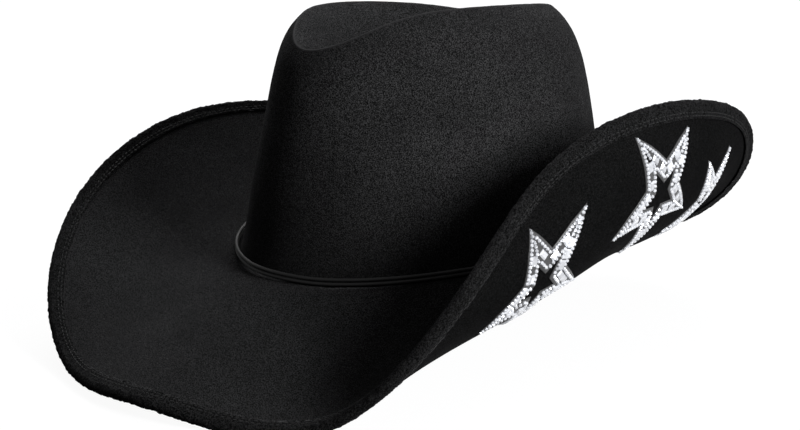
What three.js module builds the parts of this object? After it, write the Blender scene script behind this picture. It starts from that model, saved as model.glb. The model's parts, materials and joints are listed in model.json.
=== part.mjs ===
// A black velvet western hat, in millimetres.
//
// -Y is the front of the hat, +X the wearer's left and +Z up. The finished hat has its origin
// at the middle of the bottom of the box round it. While it is built, the origin is the middle
// of the head opening, level with the seam between crown and brim at the front and back.
// A "turn" is an angle round the hat in degrees: 0 at the front, 90 at the wearer's left,
// 180 at the back and 270 at the wearer's right.

import * as THREE from 'three';
import { mergeVertices } from 'three/addons/utils/BufferGeometryUtils.js';

// ---------------------------------------------------------------------------
// Driving dimensions

// The oval that the crown stands on, measured over the velvet.
const BASE_LENGTH = 208;
const BASE_WIDTH = 172;
const BASE_FRONT_TAPER = 0.02;
const SIDE_RISE = 7;
const LEVEL_SHARE = 0.05;

// Heights round the crown at eight stations 45 degrees apart, from the front round by the
// wearer's left. The soft crest stands a little higher on the left.
const CREST = [110, 126, 129, 121, 109, 113, 119, 118];
const CREASE_FLOOR = [99, 97, 94, 92, 91, 91, 92, 96];

// The crown's profile, from the seam over the crest and down into the crease.
// across and along are shares of the base oval, forward a shift towards the front, and pinch
// how deep the two front dents press into the wall at that height.
const CROWN_PROFILE = [
  { across: 1.000, along: 1.000, height: 0, forward: 0, pinch: 0 },
  { across: 0.968, along: 0.972, height: 9, forward: 0, pinch: 0 },
  { across: 0.935, along: 0.945, height: 30, forward: 0, pinch: 0 },
  { across: 0.885, along: 0.895, height: 62, forward: 0, pinch: 2 },
  { across: 0.825, along: 0.845, height: 94, forward: 1, pinch: 4 },
  { across: 0.755, along: 0.800, belowCrest: 8, forward: 4, pinch: 5 },
  { across: 0.650, along: 0.745, belowCrest: 0, forward: 5, pinch: 5 },
  { across: 0.520, along: 0.670, belowCrest: 6, forward: 5, pinch: 3 },
  { across: 0.330, along: 0.570, aboveFloor: 7, forward: 3, pinch: 0 },
  { across: 0.130, along: 0.480, aboveFloor: 0, forward: 2, pinch: 0 },
];

// The brim, at twelve stations 30 degrees apart. Each one is an arc of its own width that
// leaves the crown at one slope and reaches the edge at another, in degrees above level.
const BRIM_WIDTH = [98, 101, 116, 110, 102, 95, 96, 98, 102, 105, 103, 102];
const BRIM_START_SLOPE = [-29, -47, -43, -1, 5, 0, -9, -5, 5, 5, -9, -24];
const BRIM_EDGE_SLOPE = [-23, 1, 123, 121, 107, 63, -17, 6, 33, 37, 12, -28];

// Layers, from the outside in.
const GAP = 0.3;
const VELVET = 0.8;
const CROWN_STIFFENER = 1.2;
const BRIM_CORE = 1.4;
const BRIM_THICKNESS = VELVET + GAP + BRIM_CORE + GAP + VELVET;
const SWEATBAND = 1.2;
const SWEATBAND_HEIGHT = 34;
const LABEL = 0.4;
const LABEL_FOOT = 10;
const LABEL_HEIGHT = 14;
const LABEL_HALF_TURN = 11;

// The brim's edge: a wire in a folded strip of velvet.
const BINDING_WIDTH = 9.5;
const BINDING = 0.6;
const WIRE_RADIUS = 0.8;
const FERRULE_WALL = 0.45;
const FERRULE_LENGTH = 14;
const FERRULE_TURN = 180;

// The hat band: two cords, one above the other.
const CORD_RADIUS = 0.85;
const CORD_STAND_OFF = 0.4;
const CORD_HEIGHTS = { lower: 1.8, upper: 3.9 };

// Stars on the underside of the rolled sides. reach is the share of the way from the crown
// to the edge, size the distance from the centre to a point.
const STARS = [
  { name: 'front', turn: 63.5, reach: 0.585, size: 36.5, tilt: -17 },
  { name: 'middle', turn: 95.5, reach: 0.61, size: 38, tilt: -2 },
  { name: 'rear', turn: 125, reach: 0.49, size: 34.5, tilt: 12 },
];
const RIGHT_REACH_SHIFT = -0.04;
const STAR_NOTCH = 0.42;
const STAR_BAND = 7.5;
const FILM = 0.4;
const FILM_MARGIN = 0.7;
const STONE_HEIGHT = 1.1;
const STAR_LIFT = 0.6;

// How finely the curved solids are faceted.
const STATIONS = 48;
const BRIM_STEPS = 7;
const CROWN_STEPS = 12;
const STAR_EDGE_STEPS = 2;
const ROUND_SIDES = 6;

// ---------------------------------------------------------------------------
// Small geometry tools

const radians = THREE.MathUtils.degToRad;

// A smooth closed curve through evenly spaced values. Its slopes satisfy
// s[i-1] + 4 s[i] + s[i+1] = 3 (v[i+1] - v[i-1]), which repeated averaging solves.
function closedCurve(values) {
  const count = values.length;
  const at = (list, i) => list[(i + count) % count];
  const slopes = values.map(() => 0);
  for (let pass = 0; pass < 40; pass += 1) {
    for (let i = 0; i < count; i += 1) {
      const pull = 3 * (at(values, i + 1) - at(values, i - 1));
      slopes[i] = (pull - at(slopes, i - 1) - at(slopes, i + 1)) / 4;
    }
  }
  return (turn) => {
    const place = ((((turn % 360) + 360) % 360) / 360) * count;
    const i = Math.floor(place);
    const u = place - i;
    const start = (1 + 2 * u) * (1 - u) ** 2 * at(values, i) + u * (1 - u) ** 2 * at(slopes, i);
    const end = u * u * (3 - 2 * u) * at(values, i + 1) + u * u * (u - 1) * at(slopes, i + 1);
    return start + end;
  };
}

// The point a distance off a surface, where surface(turn, share) is a place on it: out of the
// crown's wall, or down from the brim's top face.
function offset(surface, turn, share, distance) {
  const step = 0.001;
  const round = surface(turn + step, share).sub(surface(turn - step, share));
  const along = surface(turn, share + step).sub(surface(turn, share - step));
  return surface(turn, share).addScaledVector(round.cross(along).normalize(), distance);
}

// A face of three or four corners as triangles. Four corners are split along the shorter
// diagonal, so sheets that lie on each other are creased along the same lines.
function trianglesOf([a, b, c, d]) {
  if (!d) return [[a, b, c]];
  return a.distanceTo(c) < b.distanceTo(d) ? [[a, b, c], [a, c, d]] : [[a, b, d], [b, c, d]];
}

// A closed solid from faces of three or four corners, turned so that its faces point out.
function solid(faces) {
  const triangles = faces.flatMap(trianglesOf);
  const volume = triangles.reduce((sum, [a, b, c]) => sum + a.dot(b.clone().cross(c)), 0);
  const outward = volume > 0 ? triangles : triangles.map(([a, b, c]) => [a, c, b]);
  const geometry = new THREE.BufferGeometry().setFromPoints(outward.flat());
  return mergeVertices(geometry, 1e-4);
}

// The faces between two closed loops of the same number of points.
function faceBand(lower, upper) {
  return lower.map((corner, i) => {
    const next = (i + 1) % lower.length;
    return [corner, lower[next], upper[next], upper[i]];
  });
}

// A closed ring whose cross-sections are closed loops.
function ringSolid(sections) {
  const after = (i) => sections[(i + 1) % sections.length];
  return solid(sections.flatMap((section, i) => faceBand(section, after(i))));
}

// The faces that close a left-right symmetric loop, as rungs from each side to the other.
function rungs(loop) {
  const half = loop.length / 2;
  const faces = [[loop[0], loop[1], loop[loop.length - 1]]];
  for (let i = 1; i < half - 1; i += 1) {
    faces.push([loop[i], loop[i + 1], loop[loop.length - i - 1], loop[loop.length - i]]);
  }
  faces.push([loop[half - 1], loop[half], loop[half + 1]]);
  return faces;
}

// The values that split a range into equal steps, with both ends.
function evenly(count, from, to) {
  return Array.from({ length: count + 1 }, (_, i) => from + ((to - from) * i) / count);
}

const stationTurns = evenly(STATIONS, 0, 360).slice(0, STATIONS);
const roundAngles = evenly(ROUND_SIDES, 0, 360).slice(0, ROUND_SIDES);

// ---------------------------------------------------------------------------
// The crown's surface

function seamHeight(turn) {
  return (SIDE_RISE * Math.max(0, Math.sin(radians(turn)) ** 2 - LEVEL_SHARE)) / (1 - LEVEL_SHARE);
}

function baseOval(turn, across = 1, along = 1) {
  const front = Math.cos(radians(turn));
  const x = (BASE_WIDTH / 2) * across * Math.sin(radians(turn)) * (1 - BASE_FRONT_TAPER * front);
  return new THREE.Vector3(x, (-BASE_LENGTH / 2) * along * front, seamHeight(turn));
}

// The level direction that points straight out of the base oval.
function outwardFromBase(turn) {
  const ahead = baseOval(turn + 0.01).sub(baseOval(turn - 0.01));
  return new THREE.Vector3(ahead.y, -ahead.x, 0).normalize();
}

const crestHeight = closedCurve(CREST);
const floorHeight = closedCurve(CREASE_FLOOR);

// 1 at the middle of each front dent, falling to 0 at the front and at the sides.
function frontDent(turn) {
  const c = Math.cos(radians(turn));
  return c > 0 ? (2 * c * Math.sin(radians(turn))) ** 2 : 0;
}

function profilePoint(turn, { across, along, height, belowCrest, aboveFloor, forward, pinch }) {
  const point = baseOval(turn, across, along);
  point.y -= forward;
  point.addScaledVector(outwardFromBase(turn), -pinch * frontDent(turn));
  if (belowCrest !== undefined) point.z = crestHeight(turn) - belowCrest;
  else if (aboveFloor !== undefined) point.z = floorHeight(turn) + aboveFloor;
  else point.z += height;
  return point;
}

// share runs from 0 at the seam to 1 at the bottom of the crease. Below 0 the wall carries
// straight on down.
function crownSurface(turn, share) {
  const line = new THREE.CatmullRomCurve3(CROWN_PROFILE.map((ring) => profilePoint(turn, ring)));
  if (share >= 0) return line.getPoint(Math.min(share, 1));
  return line.getPoint(0).add(new THREE.Vector3(0, 0, share * BASE_LENGTH));
}

// The share at which the wall reaches the brim's underside.
const SEAM_FOOT = -BRIM_THICKNESS / BASE_LENGTH;

// A layer of the crown: depth is measured in from the outer face.
function crownLayer(depth, thickness) {
  const shares = [SEAM_FOOT, ...evenly(CROWN_STEPS, 0, 0.999)];
  const ring = (share, inset) => stationTurns.map((turn) => offset(crownSurface, turn, share, -inset));
  const rings = (inset) => shares.map((share) => ring(share, inset));
  const outer = rings(depth);
  const inner = rings(depth + thickness);
  const skin = (loops) => loops.slice(1).flatMap((loop, i) => faceBand(loops[i], loop));
  const flip = (faces) => faces.map((face) => [...face].reverse());
  return solid([
    ...skin(outer), ...rungs(outer.at(-1)),
    ...flip(skin(inner)), ...flip(rungs(inner.at(-1))),
    ...faceBand(inner[0], outer[0]),
  ]);
}

// ---------------------------------------------------------------------------
// The brim's surface

const brimWidth = closedCurve(BRIM_WIDTH);
const brimStartSlope = closedCurve(BRIM_START_SLOPE);
const brimEdgeSlope = closedCurve(BRIM_EDGE_SLOPE);

// The top face of the brim. share runs from 0 at the crown to 1 at the edge. Each station is
// a circular arc, so the point is the arc's chord, turned to the mean slope.
function brimSurface(turn, share) {
  const start = radians(brimStartSlope(turn));
  const bend = (radians(brimEdgeSlope(turn)) - start) * share;
  const length = brimWidth(turn) * share;
  const chord = Math.abs(bend) < 1e-6 ? length : (length * Math.sin(bend / 2)) / (bend / 2);
  const slope = start + bend / 2;
  const point = baseOval(turn).addScaledVector(outwardFromBase(turn), GAP + chord * Math.cos(slope));
  point.z += chord * Math.sin(slope);
  return point;
}

// A place in the brim: inset is the distance from the edge, depth the distance below the top.
const inBrim = (turn, inset, depth) => offset(brimSurface, turn, 1 - inset / brimWidth(turn), depth);

// Where the brim meets the crown its layers end on one upright face.
function atCrown(turn, depth) {
  const point = brimSurface(turn, 0);
  point.z -= depth / Math.cos(radians(brimStartSlope(turn)));
  return point;
}

function brimLayer(depth, thickness) {
  const face = (turn, below) => {
    const insets = [...evenly(BRIM_STEPS, brimWidth(turn), BINDING_WIDTH).slice(1), LAYER_INSET];
    return [atCrown(turn, below), ...insets.map((inset) => inBrim(turn, inset, below))];
  };
  const section = (turn) => [...face(turn, depth), ...face(turn, depth + thickness).reverse()];
  return ringSolid(stationTurns.map(section));
}

// The edge, as an inset and a depth: a rounded nose that the wire lies in.
const MID_DEPTH = BRIM_THICKNESS / 2;
const NOSE_RADIUS = MID_DEPTH + GAP + BINDING;
const WIRE_INSET = BINDING + GAP + FERRULE_WALL + GAP + WIRE_RADIUS;
const LAYER_INSET = WIRE_INSET + WIRE_RADIUS + GAP + FERRULE_WALL + GAP;

function edgeBinding() {
  const nose = (radius) => [90, 30, -30, -90].map((angle) => ({
    inset: NOSE_RADIUS - radius * Math.cos(radians(angle)),
    depth: MID_DEPTH - radius * Math.sin(radians(angle)),
  }));
  const leg = (depth) => [BINDING_WIDTH, LAYER_INSET].map((inset) => ({ inset, depth }));
  const face = (radius) => [
    ...leg(MID_DEPTH - radius), ...nose(radius), ...leg(MID_DEPTH + radius).reverse(),
  ];
  const outline = [...face(NOSE_RADIUS), ...face(NOSE_RADIUS - BINDING).reverse()];
  const section = (turn) => outline.map(({ inset, depth }) => inBrim(turn, inset, depth));
  return ringSolid(stationTurns.map(section));
}

// A round section of the given radius about a place in the brim's edge.
function edgeCircle(turn, radius) {
  return roundAngles.map((angle) => inBrim(
    turn,
    WIRE_INSET + radius * Math.cos(radians(angle)),
    MID_DEPTH + radius * Math.sin(radians(angle)),
  ));
}

function brimWire() {
  return ringSolid(stationTurns.map((turn) => edgeCircle(turn, WIRE_RADIUS)));
}

// A short crimped tube over the meeting ends of the wire.
function wireFerrule() {
  const tube = (radius) => {
    const start = edgeCircle(FERRULE_TURN, radius);
    const end = edgeCircle(FERRULE_TURN + 360 / STATIONS, radius);
    const between = (u) => start.map((point, i) => point.clone().lerp(end[i], u));
    const halfShare = FERRULE_LENGTH / 2 / start[0].distanceTo(end[0]);
    return [between(0.5 - halfShare), between(0.5 + halfShare)];
  };
  const bore = WIRE_RADIUS + GAP;
  return ringSolid([...tube(bore + FERRULE_WALL), ...tube(bore).reverse()]);
}

// ---------------------------------------------------------------------------
// Sweatband, label and hat band

// The share of the crown's profile at which its wall is a height above the seam.
function shareAtHeight(height) {
  const i = CROWN_PROFILE.findIndex((ring) => ring.height > height) - 1;
  const [below, above] = [CROWN_PROFILE[i].height, CROWN_PROFILE[i + 1].height];
  return (i + (height - below) / (above - below)) / (CROWN_PROFILE.length - 1);
}

// The loop round one cross-section of a sheet that stands inside the crown's wall.
function insideWall(turn, shares, depth, thickness) {
  const face = (inset) => shares.map((share) => offset(crownSurface, turn, share, -inset));
  return [...face(depth), ...face(depth + thickness).reverse()];
}

const SWEATBAND_DEPTH = VELVET + GAP + CROWN_STIFFENER + 2 * GAP;

// The sweatband stands from the brim's underside up.
function sweatband() {
  const shares = [SEAM_FOOT, ...[0, 9, 20, SWEATBAND_HEIGHT].map(shareAtHeight)];
  const section = (turn) => insideWall(turn, shares, SWEATBAND_DEPTH, SWEATBAND);
  return ringSolid(stationTurns.map(section));
}

// A blank label on the sweatband at the back.
function sweatbandLabel() {
  const shares = [LABEL_FOOT, LABEL_FOOT + LABEL_HEIGHT].map(shareAtHeight);
  const turns = evenly(4, 180 - LABEL_HALF_TURN, 180 + LABEL_HALF_TURN);
  const depth = SWEATBAND_DEPTH + SWEATBAND + 2 * GAP;
  const loops = turns.map((turn) => insideWall(turn, shares, depth, LABEL));
  const sides = loops.slice(1).flatMap((loop, i) => faceBand(loops[i], loop));
  return solid([...sides, [...loops[0]].reverse(), loops.at(-1)]);
}

// A cord round the crown, its middle a height above the seam.
function cord(height) {
  const section = (turn) => roundAngles.map((angle) => {
    const away = CORD_STAND_OFF + CORD_RADIUS * (1 + Math.cos(radians(angle)));
    const point = baseOval(turn).addScaledVector(outwardFromBase(turn), away);
    point.z += height + CORD_RADIUS * Math.sin(radians(angle));
    return point;
  });
  return ringSolid(stationTurns.map(section));
}

// ---------------------------------------------------------------------------
// Stars

// A place on the brim's underside: across runs round the hat and outward runs to the edge,
// both in millimetres from the star's centre.
function onUnderside(star, across, outward, height) {
  const share = star.reach + outward / brimWidth(star.turn);
  const spanPerDegree = (turn) => brimSurface(turn + 0.5, share).distanceTo(brimSurface(turn - 0.5, share));
  const firstTurn = star.turn + across / spanPerDegree(star.turn);
  const turn = star.turn + across / spanPerDegree((star.turn + firstTurn) / 2);
  return offset(brimSurface, turn, share, BRIM_THICKNESS + height);
}

// A five-pointed star as across and outward distances, with each edge in short steps.
function starOutline(star, size) {
  const corners = Array.from({ length: 10 }, (_, i) => {
    const radius = i % 2 ? size * STAR_NOTCH : size;
    const angle = radians(star.tilt + 54 + 36 * i);
    return new THREE.Vector2(radius * Math.cos(angle), radius * Math.sin(angle));
  });
  return corners.flatMap((corner, i) => {
    const next = corners[(i + 1) % corners.length];
    const steps = evenly(STAR_EDGE_STEPS, 0, 1).slice(0, STAR_EDGE_STEPS);
    return steps.map((u) => corner.clone().lerp(next, u));
  });
}

// The distance from a star's centre to its straight edges, for a star of size 1.
const STAR_INRADIUS = (STAR_NOTCH * Math.sin(radians(36)))
  / Math.sqrt(1 + STAR_NOTCH ** 2 - 2 * STAR_NOTCH * Math.cos(radians(36)));

// An open star: a band that follows the outline, standing low to high above the underside.
function openStar(star, margin, low, high) {
  const sizeFor = (offset) => star.size + offset / STAR_INRADIUS;
  const outer = starOutline(star, sizeFor(margin));
  const middle = starOutline(star, sizeFor(-STAR_BAND / 2));
  const inner = starOutline(star, sizeFor(-STAR_BAND - margin));
  return ringSolid(outer.map((_, i) => {
    const across = [outer[i], middle[i], inner[i]];
    const face = (height) => across.map(({ x, y }) => onUnderside(star, x, y, height));
    return [...face(high), ...face(low).reverse()];
  }));
}

// ---------------------------------------------------------------------------
// Materials

const velvet = (color) => new THREE.MeshStandardMaterial({ color, roughness: 0.95, metalness: 0 });
const fibre = (color) => new THREE.MeshStandardMaterial({ color, roughness: 0.9, metalness: 0 });
const metal = (color) => new THREE.MeshStandardMaterial({ color, roughness: 0.35, metalness: 1 });
const crystal = (color) => new THREE.MeshStandardMaterial({ color, roughness: 0.08, metalness: 0.6 });

// ---------------------------------------------------------------------------
// Assembly

const hat = new THREE.Group();

function add(name, geometry, material) {
  const mesh = new THREE.Mesh(geometry, material);
  mesh.name = name;
  hat.add(mesh);
}

add('crown_cover', crownLayer(0, VELVET), velvet(0x1b1b1c));
add('crown_stiffener', crownLayer(VELVET + GAP, CROWN_STIFFENER), fibre(0x2a2a2b));
add('sweatband', sweatband(), fibre(0x151515));
add('sweatband_label', sweatbandLabel(), fibre(0x2b2b2b));

add('brim_top_cover', brimLayer(0, VELVET), velvet(0x18181a));
add('brim_core', brimLayer(VELVET + GAP, BRIM_CORE), fibre(0x2c2c2c));
add('brim_under_cover', brimLayer(BRIM_THICKNESS - VELVET, VELVET), velvet(0x0d0d0e));
add('edge_binding', edgeBinding(), velvet(0x202022));
add('brim_wire', brimWire(), metal(0x8a8d90));
add('wire_ferrule', wireFerrule(), metal(0xb9bcbf));

for (const [name, height] of Object.entries(CORD_HEIGHTS)) {
  add(`band_cord_${name}`, cord(height), fibre(0x0b0b0b));
}

// A star patch: its backing film, with the stones on top.
function addStar(name, star) {
  const film = openStar(star, FILM_MARGIN, STAR_LIFT, STAR_LIFT + FILM);
  const seat = STAR_LIFT + FILM + GAP;
  const stones = openStar(star, 0, seat, seat + STONE_HEIGHT);
  add(`star_${name}_film`, film, fibre(0x3a3a3d));
  add(`star_${name}_stones`, stones, crystal(0xe8ecf2));
}

for (const star of STARS) {
  addStar(`left_${star.name}`, star);
  const reach = star.reach + RIGHT_REACH_SHIFT;
  addStar(`right_${star.name}`, { ...star, turn: 360 - star.turn, reach, tilt: -star.tilt });
}

// The box round the hat sets where its origin is.
const box = new THREE.Box3().setFromObject(hat);
const middle = box.getCenter(new THREE.Vector3());
hat.position.set(-middle.x, -middle.y, -box.min.z);

export default hat;
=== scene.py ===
"""A black velvet western hat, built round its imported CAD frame. Metres, +Z up, -Y is the front."""

import json
import math
import random

import bmesh
import bpy
import numpy as np
from mathutils import Matrix, Vector, noise
from mathutils.bvhtree import BVHTree

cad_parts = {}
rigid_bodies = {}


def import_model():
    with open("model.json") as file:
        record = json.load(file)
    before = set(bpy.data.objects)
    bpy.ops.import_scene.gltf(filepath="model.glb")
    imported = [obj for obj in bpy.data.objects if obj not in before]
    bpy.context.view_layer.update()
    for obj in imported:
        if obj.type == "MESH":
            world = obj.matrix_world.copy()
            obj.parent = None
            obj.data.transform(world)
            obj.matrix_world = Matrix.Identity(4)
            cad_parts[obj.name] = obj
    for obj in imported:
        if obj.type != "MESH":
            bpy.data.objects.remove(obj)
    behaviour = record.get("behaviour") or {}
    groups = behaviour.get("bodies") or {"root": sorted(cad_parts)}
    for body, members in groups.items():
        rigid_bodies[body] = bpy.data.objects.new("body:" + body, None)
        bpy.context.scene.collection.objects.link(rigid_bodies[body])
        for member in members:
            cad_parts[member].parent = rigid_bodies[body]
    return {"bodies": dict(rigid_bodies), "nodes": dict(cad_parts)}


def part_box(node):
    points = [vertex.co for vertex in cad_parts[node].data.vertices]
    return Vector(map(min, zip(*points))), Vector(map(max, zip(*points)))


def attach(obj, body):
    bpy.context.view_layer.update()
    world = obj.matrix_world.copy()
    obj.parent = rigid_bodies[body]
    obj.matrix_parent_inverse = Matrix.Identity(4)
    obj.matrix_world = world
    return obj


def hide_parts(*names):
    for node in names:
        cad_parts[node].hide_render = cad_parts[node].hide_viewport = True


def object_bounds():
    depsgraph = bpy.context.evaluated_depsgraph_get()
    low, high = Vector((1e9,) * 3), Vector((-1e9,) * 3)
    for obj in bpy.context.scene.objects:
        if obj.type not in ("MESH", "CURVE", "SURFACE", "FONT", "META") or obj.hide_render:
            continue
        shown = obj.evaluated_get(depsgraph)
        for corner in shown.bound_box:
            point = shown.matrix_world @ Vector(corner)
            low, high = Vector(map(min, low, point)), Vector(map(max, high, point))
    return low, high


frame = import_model()
cad_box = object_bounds()

MM = 0.001
BODY = next(iter(frame["bodies"]))
UP = Vector((0, 0, 1))

# The middle of the head opening, level with the lower end of the crown.
crown_low, crown_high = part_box("crown_cover")
HEAD = Vector(((crown_low.x + crown_high.x) / 2, (crown_low.y + crown_high.y) / 2, crown_low.z))

# How many points the CAD's ring-shaped nodes have round each cross-section.
CORD_SIDES = 6
BINDING_POINTS = 16
BRIM_POINTS = 18
SWEATBAND_POINTS = 10

# How the CAD's faceted surfaces are read. Corners nearer than WELD are one corner, and
# QUAD_FLOW makes the quads follow one another. An edge that turns more than RIM_TURN is a
# sharp rim, and a line round a ring that turns more than CORNER_TURN is a sharp corner.
WELD = 0.001 * MM
QUAD_FLOW = 5.0
RIM_TURN = math.radians(58)
CORNER_TURN = math.radians(72)

# Velvet. The crown is painted darker at its foot, a painted shade that lifts over a set height.
# The brim's inner edge goes SEAM_TUCK in under the crown, over the nearest SEAM_WIDTH of the brim.
NAP = 0.10 * MM
BINDING_NAP = 0.42 * MM
BINDING_TUFTS = ((1.3 * MM, 1.0), (3.4 * MM, 0.8))
CROWN_PAINTED_SHADE_HEIGHT = 75 * MM
SEAM_TUCK = 1.1 * MM
SEAM_WIDTH = 4 * MM

# Cords, the sweatband's ribs, and stitches. A row of stitches lies at each of STITCH_ROWS
# in from the binding's inner edge. All of them stand out of the cloth as the binding does
# at STITCH_COLUMN, its column of points just beyond the rows.
CORD_STRANDS = 2
CORD_LAY = 2.6 * MM
CORD_POINTS = 16
STATIONS_PER_RIB = 3
RIB_HEIGHT = 0.08 * MM
STITCH_ROWS = (1.5 * MM, 3.2 * MM)
STITCH_PITCH = 3.1 * MM
STITCH_LENGTH = 2.1 * MM
STITCH_RADIUS = 0.20 * MM
STITCH_SIDES = 6
STITCH_COLUMN = 3

# Stars. A tip comes every POINTS_PER_TIP corners round a star's outline. The angles are
# half of the corner at a tip and half of the corner at a notch.
POINTS_PER_TIP = 4
STAR_TIP_ANGLE = math.radians(20.5)
STAR_NOTCH_ANGLE = math.radians(123.5)
FILM_FOOT = 0.05 * MM
FILM_TOP = 0.40 * MM
TIP_TRIM = 2.4 * MM
FILM_STEPS_ALONG = 6
FILM_STEPS_ACROSS = 8
ROUND_STONE = 0.97 * MM
BAGUETTE = (2.5 * MM, 1.72 * MM)
STONE_GAP = 0.12 * MM
STONE_HEIGHT = 1.0 * MM
STONE_SIDES = 8
SMALLEST_STONE = 0.4 * ROUND_STONE
STONE_MARGIN = 0.2 * MM
STONE_SEAT = 0.05 * MM
FIRST_ARM_STONE = 1.8 * MM

# Floor, surroundings and camera. The aim is right and up from the middle of the hat's box.
FLOOR_REACH = 6.0
FLOOR_GLOW = 0.94
WORLD_LIGHT = 0.11
CAMERA_AZIMUTH = math.radians(43)
CAMERA_ELEVATION = math.radians(13)
CAMERA_DISTANCE = 1.406
CAMERA_LENS = 123.5
CAMERA_AIM = (-0.8 * MM, -27.4 * MM)


# ---------------------------------------------------------------------------
# Meshes

def new_piece(name, mesh, material, slot, *nodes):
    """A finished piece that rides on the hat and stands for the CAD nodes named."""
    mesh.name = name
    mesh.materials.clear()
    mesh.materials.append(material)
    piece = bpy.data.objects.new(name, mesh)
    bpy.context.scene.collection.objects.link(piece)
    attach(piece, BODY)
    if nodes:
        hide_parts(*nodes)
    return piece


def mesh_from(name, points, faces):
    """A mesh whose faces point out of the closed form that they make."""
    mesh = bpy.data.meshes.new(name)
    mesh.from_pydata([tuple(p) for p in points], [], faces)
    bm = bmesh.new()
    bm.from_mesh(mesh)
    bmesh.ops.recalc_face_normals(bm, faces=bm.faces)
    if bm.calc_volume(signed=True) < 0:
        bmesh.ops.reverse_faces(bm, faces=bm.faces)
    bm.to_mesh(mesh)
    bm.free()
    mesh.polygons.foreach_set("use_smooth", [True] * len(mesh.polygons))
    return mesh


def welded(node):
    """A CAD node's surface as a bmesh whose neighbouring faces share their corners."""
    bm = bmesh.new()
    bm.from_mesh(frame["nodes"][node].data)
    bmesh.ops.remove_doubles(bm, verts=bm.verts, dist=WELD)
    return bm


def smooth_shell(node, levels):
    """A CAD node's form after subdivision, with its rims kept sharp."""
    bm = welded(node)
    bmesh.ops.join_triangles(
        bm,
        faces=bm.faces,
        angle_face_threshold=math.pi,
        angle_shape_threshold=math.pi,
        topology_influence=QUAD_FLOW,
    )
    bm.verts.index_update()
    points = [v.co.copy() for v in bm.verts]
    faces = [[v.index for v in face.verts] for face in bm.faces]
    bm.free()
    mesh = mesh_from(node, points, faces)
    bm = bmesh.new()
    bm.from_mesh(mesh)
    crease = bm.edges.layers.float.new("crease_edge")
    for edge in bm.edges:
        edge[crease] = float(edge.calc_face_angle(0) > RIM_TURN)
    bm.to_mesh(mesh)
    bm.free()
    carrier = bpy.data.objects.new(node + "_carrier", mesh)
    bpy.context.scene.collection.objects.link(carrier)
    carrier.modifiers.new("smooth", "SUBSURF").levels = levels
    graph = bpy.context.evaluated_depsgraph_get()
    result = bpy.data.meshes.new_from_object(carrier.evaluated_get(graph))
    bpy.data.objects.remove(carrier)
    return result


def bearing_from_head(vertex):
    """The direction of a vertex from the middle of the head opening, seen from above."""
    return math.atan2(vertex.co.x - HEAD.x, HEAD.y - vertex.co.y)


def groups_round(items, bearing, size):
    """Items in order of bearing, in groups of one size, starting after the widest gap."""
    order = sorted(items, key=bearing)
    gaps = [(bearing(order[i]) - bearing(order[i - 1])) % math.tau for i in range(len(order))]
    start = gaps.index(max(gaps))
    order = order[start:] + order[:start]
    return [order[i:i + size] for i in range(0, len(order), size)]


def ring_sections(node, points_round):
    """The cross-sections of a ring-shaped CAD node, as an array of (station, point, xyz).

    A ring's points are taken in order round the head opening, and within one section along
    the edges that join them, so that column k is the same line round the ring throughout."""
    bm = welded(node)
    sections = []
    for members in groups_round(bm.verts, bearing_from_head, points_round):
        loop = [members[0]]
        while len(loop) < points_round:
            near = [e.other_vert(loop[-1]) for e in loop[-1].link_edges]
            loop.append(next(v for v in near if v in members and v not in loop))
        section = np.array([v.co for v in loop])
        sections.append(best_match(section, sections[-1]) if sections else section)
    bm.free()
    return np.array(sections)


def best_match(section, previous):
    """The same loop, started and turned so that its points lie nearest the previous loop's."""
    turned = [np.roll(way, k, axis=0) for way in (section, section[::-1]) for k in range(len(section))]
    return min(turned, key=lambda loop: ((loop - previous) ** 2).sum())


def around(sections, stations):
    """More stations round a ring, by the smooth periodic curve through the given ones."""
    waves = np.fft.rfft(sections, axis=0)
    return np.fft.irfft(waves, n=stations, axis=0) * (stations / len(sections))


def between(a, b, c, d, steps):
    """Points on the smooth curve from b up to c, where a comes before b and d after c."""
    u = (np.arange(steps) / steps)[:, None, None]
    pull_b, pull_c = (c - a) / 2, (d - b) / 2
    return (
        (1 + 2 * u) * (1 - u) ** 2 * b + u * (1 - u) ** 2 * pull_b
        + u * u * (3 - 2 * u) * c + u * u * (u - 1) * pull_c
    )


def corner_columns(sections):
    """The columns that are sharp corners, by their mean turn over the whole ring."""
    before = sections - np.roll(sections, 1, axis=1)
    after = np.roll(sections, -1, axis=1) - sections
    lengths = np.linalg.norm(before, axis=2) * np.linalg.norm(after, axis=2)
    turn = np.arccos(np.clip((before * after).sum(axis=2) / lengths, -1, 1)).mean(axis=0)
    return [k for k, value in enumerate(turn) if value > CORNER_TURN]


def across(sections, steps):
    """More points round each section, along smooth curves that stop at the corners."""
    count = sections.shape[1]
    corners = corner_columns(sections)
    parts = []
    for k in range(count):
        after = (k + 1) % count
        b, c = sections[:, k], sections[:, after]
        a = 2 * b - c if k in corners else sections[:, k - 1]
        d = 2 * c - b if after in corners else sections[:, (k + 2) % count]
        parts.append(between(a, b, c, d, steps))
    return np.concatenate(parts).transpose(1, 0, 2)


def ring_mesh(name, grid):
    """A closed ring from its cross-sections."""
    stations, count = grid.shape[:2]

    def corner(i, k):
        return (i % stations) * count + k % count

    faces = [
        (corner(i, k), corner(i + 1, k), corner(i + 1, k + 1), corner(i, k + 1))
        for i in range(stations)
        for k in range(count)
    ]
    return mesh_from(name, grid.reshape(-1, 3), faces)


def grid_normals(grid):
    """The direction out of a ring at each of its points."""
    along = np.roll(grid, -1, axis=0) - np.roll(grid, 1, axis=0)
    round_section = np.roll(grid, -1, axis=1) - np.roll(grid, 1, axis=1)
    normals = np.cross(along, round_section)
    normals /= np.linalg.norm(normals, axis=2, keepdims=True) + 1e-12
    middle = grid.mean(axis=1, keepdims=True)
    return normals * np.sign(((grid - middle) * normals).sum())


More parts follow.
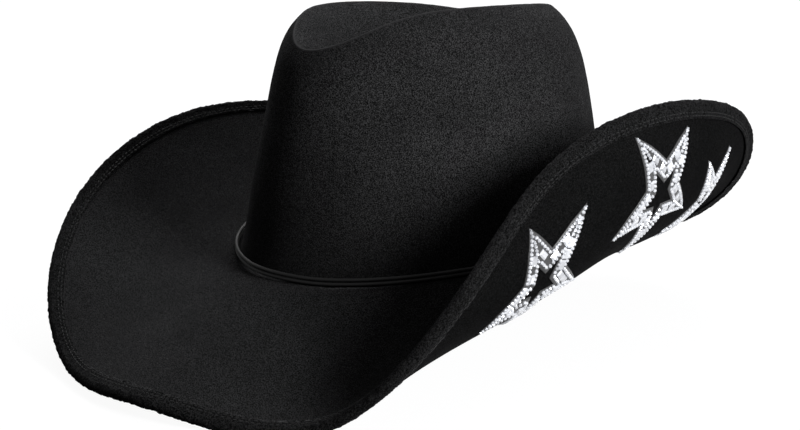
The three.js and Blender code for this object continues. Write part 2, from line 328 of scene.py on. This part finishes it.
def roughen(mesh, layers):
    """Moves each point along its normal by noise. layers holds (wavelength, height) pairs."""
    points = np.empty(3 * len(mesh.vertices), np.float32)
    mesh.vertices.foreach_get("co", points)
    points = points.reshape(-1, 3)
    normals = np.empty_like(points)
    mesh.vertex_normals.foreach_get("vector", normals.ravel())
    for i, point in enumerate(points):
        place = Vector(point)
        points[i] += normals[i] * sum(height * noise.noise(place / wave) for wave, height in layers)
    mesh.vertices.foreach_set("co", points.ravel())
    mesh.update()


# ---------------------------------------------------------------------------
# Materials

class Nodes:
    """Builds one material. add() makes a node from its inputs and returns one of its outputs."""

    def __init__(self, name):
        self.material = bpy.data.materials.new(name)
        self.material.use_nodes = True
        self.tree = self.material.node_tree
        self.shader = self.tree.nodes["Principled BSDF"]
        self.place = self.add("ShaderNodeTexCoord", {}, "Object")

    def feed(self, socket, value):
        if isinstance(value, bpy.types.NodeSocket):
            self.tree.links.new(value, socket)
        else:
            socket.default_value = value

    def add(self, kind, inputs, output=0, **settings):
        node = self.tree.nodes.new(kind)
        for key, value in settings.items():
            setattr(node, key, value)
        for key, value in inputs.items():
            self.feed(node.inputs[key], value)
        return node.outputs[output]

    def noise(self, size, detail):
        inputs = {"Vector": self.place, "Scale": 1 / size, "Detail": detail}
        return self.add("ShaderNodeTexNoise", inputs)

    def remap(self, value, low, high, to_low=0.0, to_high=1.0):
        inputs = {"Value": value, "From Min": low, "From Max": high, "To Min": to_low, "To Max": to_high}
        return self.add("ShaderNodeMapRange", inputs)

    def math(self, operation, a, b):
        return self.add("ShaderNodeMath", {0: a, 1: b}, operation=operation)

    def mix(self, share, a, b):
        return self.add("ShaderNodeMix", {0: share, 6: a, 7: b}, 2, data_type="RGBA")

    def bump(self, height, distance, strength, under=None):
        inputs = {"Height": height, "Distance": distance, "Strength": strength}
        if under:
            inputs["Normal"] = under
        return self.add("ShaderNodeBump", inputs)

    def finish(self, **inputs):
        for key, value in inputs.items():
            self.feed(self.shader.inputs[key.replace("_", " ")], value)
        return self.material


def grey(level):
    return (level, level, level * 1.03, 1.0)


def velvet(name, dark, light, sheen, pile=0.5 * MM, painted_light=None):
    """Short-pile velvet: dark between the fibres, with single tips that catch the light and
    soft patches where the pile was brushed another way. The optional last argument is a
    function that paints shade and highlights into the share of light that the tips catch."""
    n = Nodes(name)
    fibres = n.noise(pile, 1.0)
    tufts = n.noise(4 * pile, 2.0)
    brushed = n.noise(70 * pile, 2.0)
    patches = n.remap(brushed, 0.35, 0.65, 0.75, 1.0)
    tips = n.remap(n.math("ADD", fibres, n.math("MULTIPLY", tufts, 0.15)), 0.48, 0.78)
    caught = n.math("MULTIPLY", tips, patches)
    if painted_light:
        # painted shade and painted highlights, where a function for them is given
        caught = painted_light(n, caught)
    colour = n.mix(caught, grey(dark), grey(light))
    weight = n.remap(caught, 0, 1, 0.35, 1.0)
    normal = n.bump(fibres, 0.15 * MM, 0.6, n.bump(tufts, 0.2 * MM, 0.3))
    return n.finish(
        Base_Color=colour,
        Roughness=0.95,
        Specular_IOR_Level=0.0,
        Sheen_Weight=n.math("MULTIPLY", weight, sheen),
        Sheen_Roughness=0.45,
        Sheen_Tint=grey(0.75),
        Normal=normal,
    )


def crown_painted_light(n, caught):
    """Painted light: the crown is painted darker towards its foot as painted shade, and lighter along its
    ridges as a painted highlight.
    """
    height = n.add("ShaderNodeSeparateXYZ", {0: n.place}, "Z")
    # painted shade: darker towards the crown's foot
    stands = n.remap(height, HEAD.z, HEAD.z + CROWN_PAINTED_SHADE_HEIGHT, 0.3, 1.0)
    # painted highlight along the crown's ridges
    painted_ridge_highlight = n.remap(n.add("ShaderNodeNewGeometry", {}, "Pointiness"), 0.50, 0.55, 0.0, 0.6)
    return n.math("MAXIMUM", n.math("MULTIPLY", caught, stands), painted_ridge_highlight)


def felt(name, level):
    """Pressed stiffened felt: matted fibres of uneven tone."""
    n = Nodes(name)
    mat = n.noise(1.2 * MM, 5.0)
    colour = n.mix(n.remap(mat, 0.3, 0.7), grey(level * 0.6), grey(level * 1.3))
    normal = n.bump(mat, 0.3 * MM, 0.8)
    return n.finish(Base_Color=colour, Roughness=0.95, Sheen_Weight=0.3, Normal=normal)


def corded(name, level):
    """Twisted synthetic cord with a slight shine on its strands."""
    n = Nodes(name)
    yarn = n.noise(0.35 * MM, 3.0)
    colour = n.mix(yarn, grey(level * 0.5), grey(level * 1.6))
    normal = n.bump(yarn, 0.08 * MM, 0.6)
    return n.finish(Base_Color=colour, Roughness=0.7, Specular_IOR_Level=0.15, Normal=normal)


def grosgrain(name, level):
    """Ribbed ribbon: the ribs are in the mesh, and the fine weft crosses them here."""
    n = Nodes(name)
    weft = n.add("ShaderNodeTexWave", {"Vector": n.place, "Scale": 350.0}, 1, bands_direction="Z")
    wear = n.noise(18 * MM, 3.0)
    colour = n.mix(n.remap(wear, 0.35, 0.65), grey(level * 0.7), grey(level * 1.3))
    normal = n.bump(weft, 0.08 * MM, 0.5)
    return n.finish(Base_Color=colour, Roughness=0.6, Sheen_Weight=0.2, Normal=normal)


def satin(name, level):
    """Woven satin: a fine diagonal weave with soft streaks."""
    n = Nodes(name)
    weave = n.add("ShaderNodeTexWave", {"Vector": n.place, "Scale": 600.0}, 1, bands_direction="DIAGONAL")
    streak = n.noise(2 * MM, 3.0)
    colour = n.mix(streak, grey(level * 0.8), grey(level * 1.2))
    return n.finish(Base_Color=colour, Roughness=0.35, Normal=n.bump(weave, 0.04 * MM, 0.5))


def steel(name, level, roughness):
    """Drawn or crimped metal: fine scratches and handling marks."""
    n = Nodes(name)
    scratches = n.noise(0.3 * MM, 4.0)
    marks = n.noise(5 * MM, 3.0)
    colour = n.mix(marks, grey(level * 0.75), grey(level * 1.1))
    shine = n.remap(marks, 0.3, 0.7, roughness * 0.7, roughness * 1.4)
    return n.finish(
        Base_Color=colour, Metallic=1.0, Roughness=shine, Normal=n.bump(scratches, 0.03 * MM, 0.4)
    )


def thread(name, level):
    """Twisted sewing thread."""
    n = Nodes(name)
    ply = n.noise(0.2 * MM, 2.0)
    colour = n.mix(ply, grey(level * 0.5), grey(level * 1.5))
    normal = n.bump(ply, 0.05 * MM, 0.6)
    return n.finish(Base_Color=colour, Roughness=0.6, Specular_IOR_Level=0.2, Normal=normal)


def film(name, level):
    """The thin hot-fixed backing film, slightly cloudy."""
    n = Nodes(name)
    cloud = n.noise(0.9 * MM, 3.0)
    colour = n.mix(cloud, grey(level * 0.6), grey(level * 1.5))
    normal = n.bump(cloud, 0.05 * MM, 0.4)
    return n.finish(Base_Color=colour, Roughness=0.4, Specular_IOR_Level=0.3, Normal=normal)


def crystal(name):
    """Foil-backed clear stones: mirror-bright facets on a white base that is painted reflection, each stone
    and facet painted its own brightness as painted glints.
    """
    n = Nodes(name)
    painted_glint = n.add("ShaderNodeAttribute", {}, "Fac", attribute_name="painted_glint")
    depth = n.noise(0.8 * MM, 1.0)
    level = n.math("MULTIPLY", painted_glint, n.remap(depth, 0.3, 0.6, 0.85, 1.0))
    # painted reflection: the white base, mostly diffuse, stands in for the bright foil; the per-face levels
    # are painted glints
    colour = n.mix(level, (0.03, 0.03, 0.035, 1.0), (0.93, 0.95, 1.0, 1.0))
    return n.finish(Base_Color=colour, Metallic=0.4, Roughness=0.15, Coat_Weight=0.6)


# ---------------------------------------------------------------------------
# Crown and brim

def make_crown():
    mesh = smooth_shell("crown_cover", 3)
    roughen(mesh, [(9 * MM, NAP), (3 * MM, 0.6 * NAP)])
    # the crown's velvet carries painted shade at its foot and a painted highlight on its ridges
    velvet_crown = velvet("crown_velvet", 0.003, 0.045, 0.08, painted_light=crown_painted_light)
    new_piece("crown_velvet_cover", mesh, velvet_crown, "crown_velvet", "crown_cover")
    inner = smooth_shell("crown_stiffener", 2)
    new_piece("crown_felt_stiffener", inner, felt("stiffener_felt", 0.05), "stiffener", "crown_stiffener")


def brim_grid(node, stations=384, steps=5):
    """A layer of the brim, with its inner edge carried in under the foot of the crown."""
    grid = across(around(ring_sections(node, BRIM_POINTS), stations), steps)
    outward = grid[:, :, :2] - np.array(HEAD.xy)
    reach = np.linalg.norm(outward, axis=2, keepdims=True)
    share = np.clip(1 - (reach - reach.min(axis=1, keepdims=True)) / SEAM_WIDTH, 0, 1)
    grid[:, :, :2] -= SEAM_TUCK * share * outward / reach
    return grid


def make_brim():
    top = ring_mesh("top", brim_grid("brim_top_cover"))
    roughen(top, [(11 * MM, NAP), (3 * MM, 0.5 * NAP)])
    velvet_top = velvet("brim_velvet", 0.005, 0.034, 0.08)
    new_piece("brim_top_velvet", top, velvet_top, "brim_velvet", "brim_top_cover")
    under = ring_mesh("under", brim_grid("brim_under_cover"))
    # painted shade: the underside is a darker copy of the same black velvet as the brim's top
    velvet_under_painted_shade = velvet("under_velvet", 0.002, 0.012, 0.03)
    piece = new_piece("brim_under_velvet", under, velvet_under_painted_shade, "under_velvet", "brim_under_cover")
    core = ring_mesh("core", brim_grid("brim_core", 192, 2))
    new_piece("brim_felt_core", core, bpy.data.materials["stiffener_felt"], "stiffener", "brim_core")
    return piece


# ---------------------------------------------------------------------------
# Edge binding, its stitching, the wire and the ferrule

def binding_grid(stations):
    """The binding's cross-sections, started at the inner edge of its top face. The first
    columns then run over the top, round the nose and along the underside."""
    sections = ring_sections("edge_binding", BINDING_POINTS)
    face = BINDING_POINTS // 2
    steps = np.linalg.norm(np.roll(sections, -1, axis=1) - sections, axis=2).mean(axis=0)
    reach = [np.roll(steps, -k)[:face - 1].sum() for k in range(BINDING_POINTS)]
    sections = np.roll(sections, -int(np.argmax(reach)), axis=1)
    flattest = np.argmin(np.ptp(sections[:, :, 2], axis=1))
    if sections[flattest, 0, 2] < sections[flattest, face - 1, 2]:
        sections = np.concatenate([sections[:, face - 1::-1], sections[:, :face - 1:-1]], axis=1)
    return across(around(sections, stations), 4)


def fuzz(grid, normals, columns):
    """Pushes the given columns of a ring in and out as uneven velvet pile."""
    for i in range(grid.shape[0]):
        for k in columns:
            place = Vector(grid[i, k])
            pile = sum(share * noise.noise(place / wave) for wave, share in BINDING_TUFTS)
            grid[i, k] += BINDING_NAP * pile * normals[i, k]


def row_line(grid, columns, inset):
    """The line a distance in from the first of the given columns, at every station."""
    line = []
    for station in grid[:, columns]:
        lengths = np.linalg.norm(np.diff(station, axis=0), axis=1)
        reached = np.concatenate([[0], np.cumsum(lengths)])
        line.append([np.interp(inset, reached, station[:, axis]) for axis in range(3)])
    return np.array(line)


def stitch_row(bm, line, normals):
    """Adds a run of sewn stitches along a closed line."""
    closed = np.vstack([line, line[:1]])
    reached = np.concatenate([[0], np.cumsum(np.linalg.norm(np.diff(closed, axis=0), axis=1))])
    stitches = round(reached[-1] / STITCH_PITCH)
    for stitch in range(stitches):
        at = reached[-1] * stitch / stitches
        i = int(np.searchsorted(reached, at, side="right")) - 1
        share = (at - reached[i]) / (reached[i + 1] - reached[i])
        along = Vector(closed[i + 1] - closed[i]).normalized()
        centre = Vector(closed[i]).lerp(Vector(closed[i + 1]), share)
        add_stitch(bm, centre, along, Vector(normals[i]))


def add_stitch(bm, centre, along, out):
    """One stitch: a rounded spindle that dips into the cloth at both ends."""
    side = along.cross(out).normalized()
    rings = []
    for u in (-1.0, -0.72, -0.3, 0.3, 0.72, 1.0):
        radius = STITCH_RADIUS * math.sqrt(1.02 - u * u)
        lift = STITCH_RADIUS * (0.55 - 0.9 * u * u)
        middle = centre + along * (u * STITCH_LENGTH / 2) + out * lift
        turns = [math.tau * k / STITCH_SIDES for k in range(STITCH_SIDES)]
        spokes = [radius * (math.cos(t) * side + math.sin(t) * out) for t in turns]
        rings.append([bm.verts.new(middle + spoke) for spoke in spokes])
    for lower, upper in zip(rings, rings[1:]):
        for k in range(STITCH_SIDES):
            bm.faces.new((lower[k], lower[k - 1], upper[k - 1], upper[k]))
    bm.faces.new(rings[0])
    bm.faces.new(rings[-1][::-1])


def make_binding():
    """The velvet strip, and two rows of stitches on its top and on its underside. The
    columns of the outer face are counted in from its inner edge for both."""
    grid = binding_grid(1536)
    normals = grid_normals(grid)
    outer_face = range(2 * BINDING_POINTS - 3)
    faces = {"top": list(outer_face), "under": list(reversed(outer_face))}
    material = thread("stitch_thread", 0.008)
    for face, columns in faces.items():
        bm = bmesh.new()
        for inset in STITCH_ROWS:
            line = row_line(grid, columns, inset)
            stitch_row(bm, line, normals[:, columns[STITCH_COLUMN]])
        bmesh.ops.recalc_face_normals(bm, faces=bm.faces)
        mesh = bpy.data.meshes.new("stitches")
        bm.to_mesh(mesh)
        bm.free()
        new_piece(f"binding_stitches_{face}", mesh, material, "binding_velvet")
    fuzz(grid, normals, outer_face)
    mesh = ring_mesh("binding", grid)
    # painted shade: the binding is a darker copy of the brim's black velvet
    velvet_binding_painted_shade = velvet("binding_velvet", 0.002, 0.022, 0.07, 0.6 * MM)
    new_piece("brim_edge_binding", mesh, velvet_binding_painted_shade, "binding_velvet", "edge_binding")


def make_wire():
    wire = ring_mesh("wire", across(around(ring_sections("brim_wire", CORD_SIDES), 288), 2))
    new_piece("brim_edge_wire", wire, steel("spring_wire", 0.5, 0.35), "wire", "brim_wire")
    tube = smooth_shell("wire_ferrule", 3)
    new_piece("brim_wire_ferrule", tube, steel("crimped_tube", 0.7, 0.25), "ferrule", "wire_ferrule")


# ---------------------------------------------------------------------------
# Cords and sweatband

def make_cord(node, material):
    """Two strands twisted together along the CAD cord's path."""
    sections = ring_sections(node, CORD_SIDES)
    path = around(sections.mean(axis=1), 1440)
    radius = np.linalg.norm(sections - sections.mean(axis=1, keepdims=True), axis=2).mean()
    ahead = np.roll(path, -1, axis=0) - np.roll(path, 1, axis=0)
    ahead /= np.linalg.norm(ahead, axis=1, keepdims=True)
    side = np.cross(ahead, np.array(UP))
    side /= np.linalg.norm(side, axis=1, keepdims=True)
    up = np.cross(side, ahead)
    length = np.linalg.norm(np.roll(path, -1, axis=0) - path, axis=1).sum()
    twists = round(length / CORD_LAY)
    grid = []
    for i, centre in enumerate(path):
        turn = math.tau * twists * i / len(path)
        section = []
        for angle in [math.tau * k / CORD_POINTS for k in range(CORD_POINTS)]:
            strand = abs(math.cos(CORD_STRANDS / 2 * (angle - turn)))
            reach = radius * (0.86 + 0.14 * strand)
            section.append(centre + reach * (math.cos(angle) * side[i] + math.sin(angle) * up[i]))
        grid.append(section)
    mesh = ring_mesh(node, np.array(grid))
    new_piece(node.replace("band", "hat"), mesh, material, "cord", node)


def make_sweatband():
    grid = across(around(ring_sections("sweatband", SWEATBAND_POINTS), 1680), 2)
    normals = grid_normals(grid)
    ribs = np.cos(np.arange(len(grid)) * math.tau / STATIONS_PER_RIB)
    grid += RIB_HEIGHT * ribs[:, None, None] * normals
    mesh = ring_mesh("sweatband", grid)
    new_piece("sweatband_grosgrain", mesh, grosgrain("sweatband_ribbon", 0.02), "sweatband", "sweatband")
    label = smooth_shell("sweatband_label", 3)
    new_piece("sweatband_blank_label", label, satin("label_satin", 0.06), "label", "sweatband_label")


# ---------------------------------------------------------------------------
# Stars

def sharp_rims(node, cloth):
    """The closed lines of sharp corners along the edges of a patch that lies on the cloth."""
    bm = welded(node)
    links = {}
    for edge in bm.edges:
        ends = edge.verts
        way = (ends[1].co - ends[0].co).normalized()
        out = cloth.find_nearest(ends[0].co)[1]
        upright = abs(way.dot(out)) > math.cos(math.radians(45))
        if edge.calc_face_angle(0) > RIM_TURN and not upright:
            links.setdefault(ends[0], []).append(ends[1])
            links.setdefault(ends[1], []).append(ends[0])
    rims = []
    while links:
        loop = [next(iter(links))]
        while ahead := [v for v in links[loop[-1]] if v not in loop]:
            loop.append(ahead[0])
        rims.append(np.array([v.co for v in loop]))
        links = {v: near for v, near in links.items() if v not in loop}
    bm.free()
    return rims


def star_corners(node, cloth):
    """The top outer and inner corners of a star patch, as two lists of 20 points in order
    round its centre from one of its tips: tips, notches and the points between them."""

    def length(rim):
        return np.linalg.norm(rim - np.roll(rim, 1, axis=0), axis=1).sum()

    def height(rim):
        return sum(cloth.find_nearest(Vector(p))[3] for p in rim)

    rims = sorted(sharp_rims(node, cloth), key=length)
    inner, outer = max(rims[:2], key=height), max(rims[2:], key=height)
    tip = np.argmax(np.linalg.norm(outer - outer.mean(axis=0), axis=1))
    outer = np.roll(outer, -tip, axis=0)
    return [Vector(p) for p in outer], [Vector(p) for p in best_match(inner, outer)]


def on_cloth(cloth, point, height):
    """The place above the cloth nearest a point, and the direction out of the cloth there."""
    place, out = cloth.find_nearest(point)[:2]
    return place + out * height, out


def make_film(name, node, cloth, material):
    """The backing film: a thin sheet that follows the cloth between the star's outlines."""
    outer, inner = star_corners(node, cloth)
    for tip in range(0, len(outer), POINTS_PER_TIP):
        outer[tip] = outer[tip] + (inner[tip] - outer[tip]).normalized() * TIP_TRIM
    shares = [k / FILM_STEPS_ACROSS for k in range(FILM_STEPS_ACROSS + 1)]
    grid = []
    for i in range(len(outer)):
        after = (i + 1) % len(outer)
        for step in range(FILM_STEPS_ALONG):
            start = outer[i].lerp(outer[after], step / FILM_STEPS_ALONG)
            end = inner[i].lerp(inner[after], step / FILM_STEPS_ALONG)
            top = [on_cloth(cloth, start.lerp(end, s), FILM_TOP)[0] for s in shares]
            foot = [on_cloth(cloth, start.lerp(end, s), FILM_FOOT)[0] for s in shares]
            grid.append(top + foot[::-1])
    new_piece(name, ring_mesh(name, np.array(grid)), material, "star_film", node)


def add_stone(bm, painted_glint_layer, painted_glint, place, along, out, half_length, half_width):
    """One flat-backed stone: round where its two half sizes are equal, otherwise a baguette."""
    side = out.cross(along).normalized()
    along = side.cross(out)
    if half_length == half_width:
        turns = [math.tau * k / STONE_SIDES for k in range(STONE_SIDES)]
        spokes = [(math.cos(turn), math.sin(turn)) for turn in turns]
    else:
        spokes = [(1, 1), (-1, 1), (-1, -1), (1, -1)]
    rings = []
    for inset, height in ((0.0, 0.0), (0.0, 0.35), (0.42 * min(half_length, half_width), 1.0)):
        reach_a, reach_b = half_length - inset, half_width - inset
        lift = place + out * (height * STONE_HEIGHT)
        rings.append([bm.verts.new(lift + along * (a * reach_a) + side * (b * reach_b)) for a, b in spokes])
    faces = [bm.faces.new(rings[0][::-1]), bm.faces.new(rings[-1])]
    for lower, upper in zip(rings, rings[1:]):
        for k in range(len(spokes)):
            faces.append(bm.faces.new((lower[k - 1], lower[k], upper[k], upper[k - 1])))
    for face in faces:
        # each face gets its own painted glint level
        face[painted_glint_layer] = painted_glint * chance.uniform(0.6, 1.0)


def run_of_stones(path, first, last, half_length):
    """Even places along a path of three points, with its ends left clear."""
    lengths = [(path[1] - path[0]).length, (path[2] - path[1]).length]
    room = sum(lengths) - first - last
    count = int((room + STONE_GAP) / (2 * half_length + STONE_GAP)) + 1
    spacing = room / max(count - 1, 1)
    for k in range(count):
        at = first + spacing * k
        leg = 0 if at < lengths[0] else 1
        start, end = path[leg], path[leg + 1]
        share = (at - lengths[0] * leg) / lengths[leg]
        yield start.lerp(end, share), (end - start).normalized()


def clear_of(angle, half_length, half_width):
    """How far from a mitre line, along its row, a stone's middle has to stay."""
    return half_length + (half_width * abs(math.cos(angle)) + STONE_GAP) / math.sin(angle)


def arm_stones(length, rows):
    """Round stones down the middle of a star's arm, as (distance from the tip, radius) pairs.
    rows holds (the distance at which a row starts, the depth that it and its edge take up)."""
    at = FIRST_ARM_STONE
    while at < length:
        taken = max([depth for start, depth in rows if start < at], default=0.0)
        radius = min(ROUND_STONE, at * math.sin(STAR_TIP_ANGLE) - taken - STONE_GAP / 2)
        if radius > SMALLEST_STONE:
            yield at, radius
            at += 2 * radius + STONE_GAP
        else:
            at += 0.2 * MM


def make_stones(name, node, cloth, material):
    """Rows of stones along each side of an open star: small round ones at both edges and a
    row of baguettes between, with round stones down the middle of each arm."""
    outer, inner = star_corners(node, cloth)
    bm = bmesh.new()
    painted_glint_layer = bm.faces.layers.float.new("painted_glint")

    def lay(point, along, half_length, half_width):
        place, out = on_cloth(cloth, point, FILM_TOP - STONE_SEAT)
        # each stone's painted glint level
        painted_glint = chance.choice((0.75, 0.9, 1.0, 1.0, 1.0, 1.0))
        wobble = Matrix.Rotation(chance.uniform(-0.05, 0.05), 3, along)
        add_stone(bm, painted_glint_layer, painted_glint, place, along, wobble @ out, half_length, half_width)

    band = (outer[2] - inner[2]).length * math.sin(STAR_NOTCH_ANGLE)
    edge_depth = STONE_MARGIN + ROUND_STONE
    rows = [
        (edge_depth / band, ROUND_STONE, ROUND_STONE),
        (0.5, *BAGUETTE),
        (1 - edge_depth / band, ROUND_STONE, ROUND_STONE),
    ]
    for tip in range(0, len(outer), POINTS_PER_TIP):
        for way in (1, -1):
            places = [(tip + way * step) % len(outer) for step in range(3)]
            for share, half_length, half_width in rows:
                path = [outer[i].lerp(inner[i], share) for i in places]
                first = clear_of(STAR_TIP_ANGLE, half_length, half_width)
                last = clear_of(STAR_NOTCH_ANGLE, half_length, half_width)
                for point, along in run_of_stones(path, first, last, half_length):
                    lay(point, along, half_length, half_width)
        arm = inner[tip] - outer[tip]
        row_starts = [
            (share * arm.length + clear_of(STAR_TIP_ANGLE, a, b) - a, share * band + b)
            for share, a, b in rows
        ]
        for at, radius in arm_stones(arm.length - ROUND_STONE, row_starts):
            lay(outer[tip] + arm.normalized() * at, arm.normalized(), radius, radius)
    mesh = bpy.data.meshes.new(name)
    bm.to_mesh(mesh)
    bm.free()
    new_piece(name, mesh, material, "star_stones", node)


def make_stars(under):
    cloth = BVHTree.FromPolygons(
        [v.co for v in under.data.vertices], [p.vertices for p in under.data.polygons]
    )
    backing = film("star_backing_film", 0.05)
    stones = crystal("star_crystal")
    for side in ("left", "right"):
        for place in ("front", "middle", "rear"):
            star = f"star_{side}_{place}"
            make_film(f"{star}_backing", f"{star}_film", cloth, backing)
            make_stones(f"{star}_crystals", f"{star}_stones", cloth, stones)


# ---------------------------------------------------------------------------
# Floor, light and camera

def make_floor():
    """A plain sheet under the hat. It is white to the camera and in the stones, and gives
    little light back to the cloth."""
    n = Nodes("pale_paper")
    tooth = n.noise(3 * MM, 4.0)
    colour = n.mix(tooth, grey(0.08), grey(0.10))
    seen = n.add("ShaderNodeLightPath", {}, "Is Camera Ray")
    mirrored = n.add("ShaderNodeLightPath", {}, "Is Glossy Ray")
    material = n.finish(
        Base_Color=colour,
        Roughness=0.9,
        Specular_IOR_Level=0.0,
        Normal=n.bump(tooth, 0.1 * MM, 0.2),
        Emission_Color=(1, 1, 1, 1),
        Emission_Strength=n.math("MULTIPLY", n.math("MAXIMUM", seen, mirrored), FLOOR_GLOW),
    )
    mesh = bpy.data.meshes.new("floor")
    corners = [(-FLOOR_REACH, -FLOOR_REACH), (FLOOR_REACH, -FLOOR_REACH)]
    corners += [(-x, -y) for x, y in corners]
    mesh.from_pydata([(x, y, 0) for x, y in corners], [], [(0, 1, 2, 3)])
    mesh.materials.append(material)
    floor = bpy.data.objects.new("floor", mesh)
    bpy.context.scene.collection.objects.link(floor)


def make_world():
    """White to the camera and in the stones, and a dim even light to the cloth."""
    world = bpy.data.worlds.new("studio")
    world.use_nodes = True
    tree = world.node_tree
    path = tree.nodes.new("ShaderNodeLightPath")
    direct = tree.nodes.new("ShaderNodeMath")
    direct.operation = "MAXIMUM"
    strength = tree.nodes.new("ShaderNodeMapRange")
    strength.inputs["To Min"].default_value = WORLD_LIGHT
    background = tree.nodes["Background"]
    background.inputs["Color"].default_value = (1, 1, 1, 1)
    tree.links.new(path.outputs["Is Camera Ray"], direct.inputs[0])
    tree.links.new(path.outputs["Is Glossy Ray"], direct.inputs[1])
    tree.links.new(direct.outputs[0], strength.inputs["Value"])
    tree.links.new(strength.outputs[0], background.inputs["Strength"])
    bpy.context.scene.world = world


def view_axes(azimuth, elevation):
    """The directions from the hat back to a viewer, to the viewer's right and up the picture."""
    back = Vector((
        math.sin(azimuth) * math.cos(elevation),
        -math.cos(azimuth) * math.cos(elevation),
        math.sin(elevation),
    ))
    right = Vector((math.cos(azimuth), math.sin(azimuth), 0))
    return back, right, back.cross(right)


def add_softbox(name, azimuth, elevation, distance, size, power):
    """A square area light that faces the crown from a direction given in degrees."""
    back, right, up = view_axes(math.radians(azimuth), math.radians(elevation))
    light = bpy.data.lights.new(name, "AREA")
    light.size = size
    light.energy = power
    lamp = bpy.data.objects.new(name, light)
    turn = Matrix((right, up, back)).transposed().to_4x4()
    lamp.matrix_world = Matrix.Translation(HEAD + back * distance) @ turn
    bpy.context.scene.collection.objects.link(lamp)


def make_lights():
    add_softbox("key_light", azimuth=82, elevation=22, distance=1.6, size=0.5, power=34)
    add_softbox("back_light", azimuth=222, elevation=42, distance=1.5, size=1.0, power=20)
    add_softbox("front_light", azimuth=60, elevation=50, distance=1.8, size=0.9, power=2.0)


def make_camera():
    """The photograph's view: from the hat's front left, a little above the brim."""
    back, right, up = view_axes(CAMERA_AZIMUTH, CAMERA_ELEVATION)
    middle = (Vector(cad_box[0]) + Vector(cad_box[1])) / 2
    aim = middle + right * CAMERA_AIM[0] + up * CAMERA_AIM[1]
    camera = bpy.data.cameras.new("camera")
    camera.lens = CAMERA_LENS
    camera.sensor_width = 36
    holder = bpy.data.objects.new("camera", camera)
    turn = Matrix((right, up, back)).transposed().to_4x4()
    holder.matrix_world = Matrix.Translation(aim + back * CAMERA_DISTANCE) @ turn
    bpy.context.scene.collection.objects.link(holder)
    bpy.context.scene.camera = holder
    bpy.context.scene.view_settings.view_transform = "Standard"


chance = random.Random(7)
make_crown()
underside = make_brim()
make_binding()
make_wire()
cord_material = corded("band_cord", 0.004)
make_cord("band_cord_lower", cord_material)
make_cord("band_cord_upper", cord_material)
make_sweatband()
make_stars(underside)
make_floor()
make_world()
make_lights()
make_camera()
